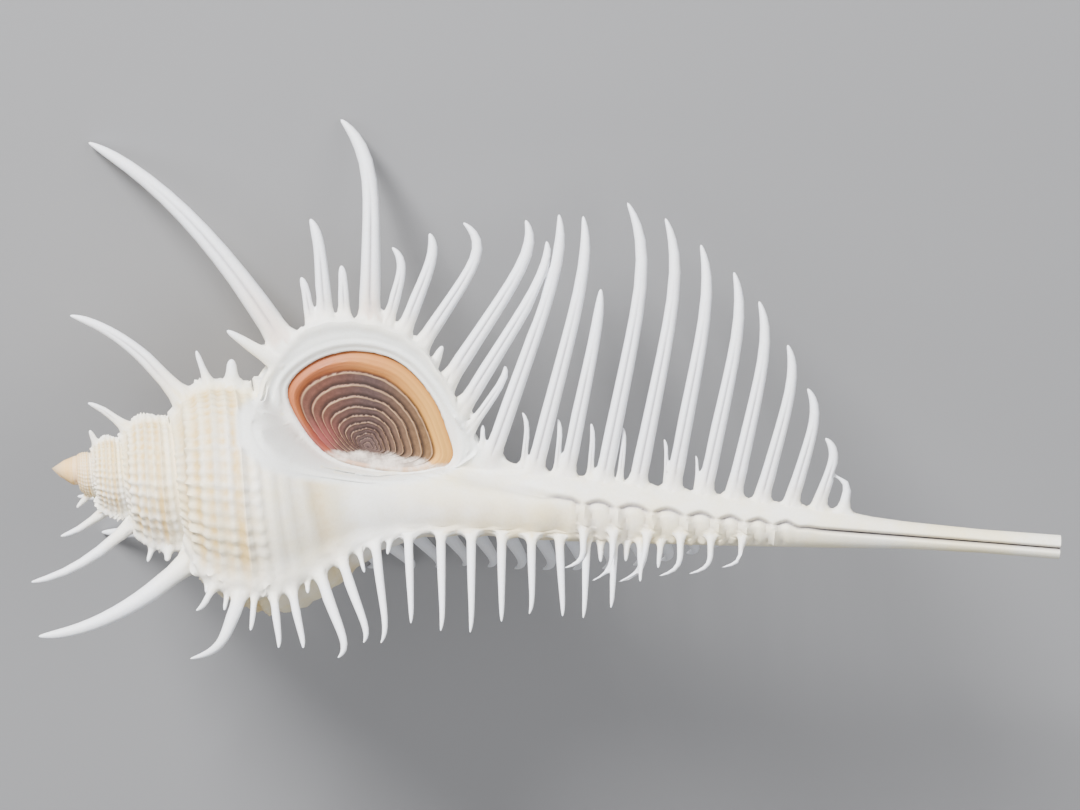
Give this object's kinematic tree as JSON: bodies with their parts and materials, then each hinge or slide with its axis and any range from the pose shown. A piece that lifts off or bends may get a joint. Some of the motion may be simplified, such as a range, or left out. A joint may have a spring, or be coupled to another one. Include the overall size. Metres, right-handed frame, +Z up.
{
  "type": "murex shell",
  "caption": "Spiny murex shell lying on its combs: spired body whorl, long straight siphonal canal, curved spines, mouth closed by a horny ringed operculum.",
  "frame": {"origin": "centre of the bounding box's base, on the level of the lowest spine tips that the shell rests on", "axes": "+X along the shell from the apex to the canal's mouth, +Y the side of the outer lip's comb and the mouth, +Z up"},
  "size_m": [0.1316, 0.0696, 0.0494],
  "materials": {
    "shell": "satin, cream and white with tan between the cords",
    "operculum": "satin horn with raised growth rings"
  },
  "bodies": {
    "root": {"shell": "shell", "operculum": "operculum"}
  },
  "joints": []
}
